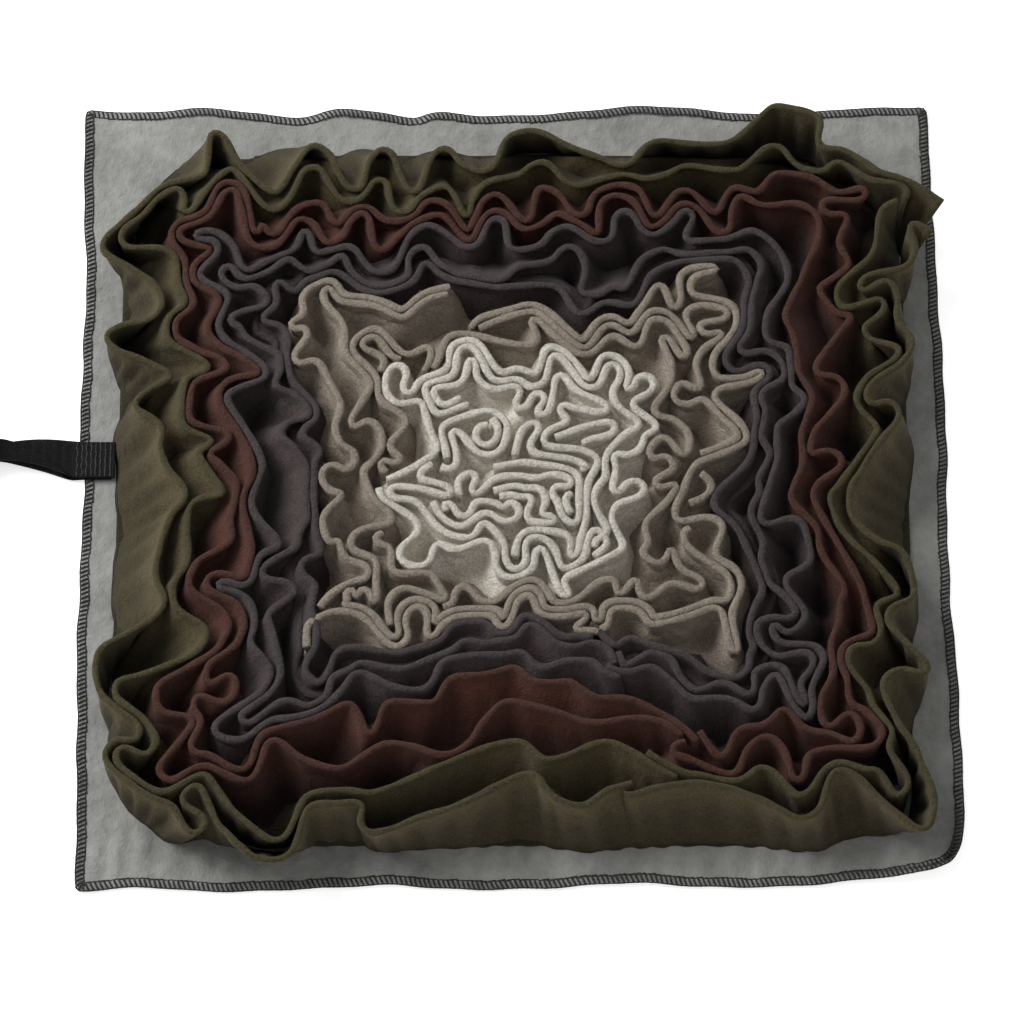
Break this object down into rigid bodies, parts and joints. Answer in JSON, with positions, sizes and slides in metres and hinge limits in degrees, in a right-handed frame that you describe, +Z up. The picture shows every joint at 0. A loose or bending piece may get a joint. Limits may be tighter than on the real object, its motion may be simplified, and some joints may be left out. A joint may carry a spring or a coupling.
{
  "type": "snuffle mat",
  "caption": "Square felt mat with ruffled fleece strips sewn on in square rings, where a dog noses out hidden food, and a webbing loop to hang it by.",
  "frame": {"origin": "middle of the flat underside of the felt base", "axes": "+Z up, +X to the right with the webbing loop leaving at -X, +Y away from the viewer"},
  "size_m": [0.519, 0.45, 0.0432],
  "materials": {
    "grey_felt": "soft needled felt",
    "black_webbing": "ribbed woven webbing",
    "olive_fleece": "brushed fleece",
    "brown_fleece": "brushed fleece",
    "purple_grey_fleece": "brushed fleece",
    "taupe_fleece": "brushed fleece",
    "off_white_fleece": "brushed fleece"
  },
  "bodies": {
    "root": {"base_cloth": "grey_felt", "carry_loop": "black_webbing", "olive_ruffle_long": "olive_fleece", "olive_ruffle_short": "olive_fleece", "brown_ruffle": "brown_fleece", "purple_outer_ruffle": "purple_grey_fleece", "purple_inner_ruffle": "purple_grey_fleece", "taupe_outer_ruffle": "taupe_fleece", "taupe_inner_ruffle": "taupe_fleece", "white_outer_ruffle": "off_white_fleece", "white_middle_ruffle": "off_white_fleece", "white_inner_ruffle": "off_white_fleece"}
  },
  "joints": []
}
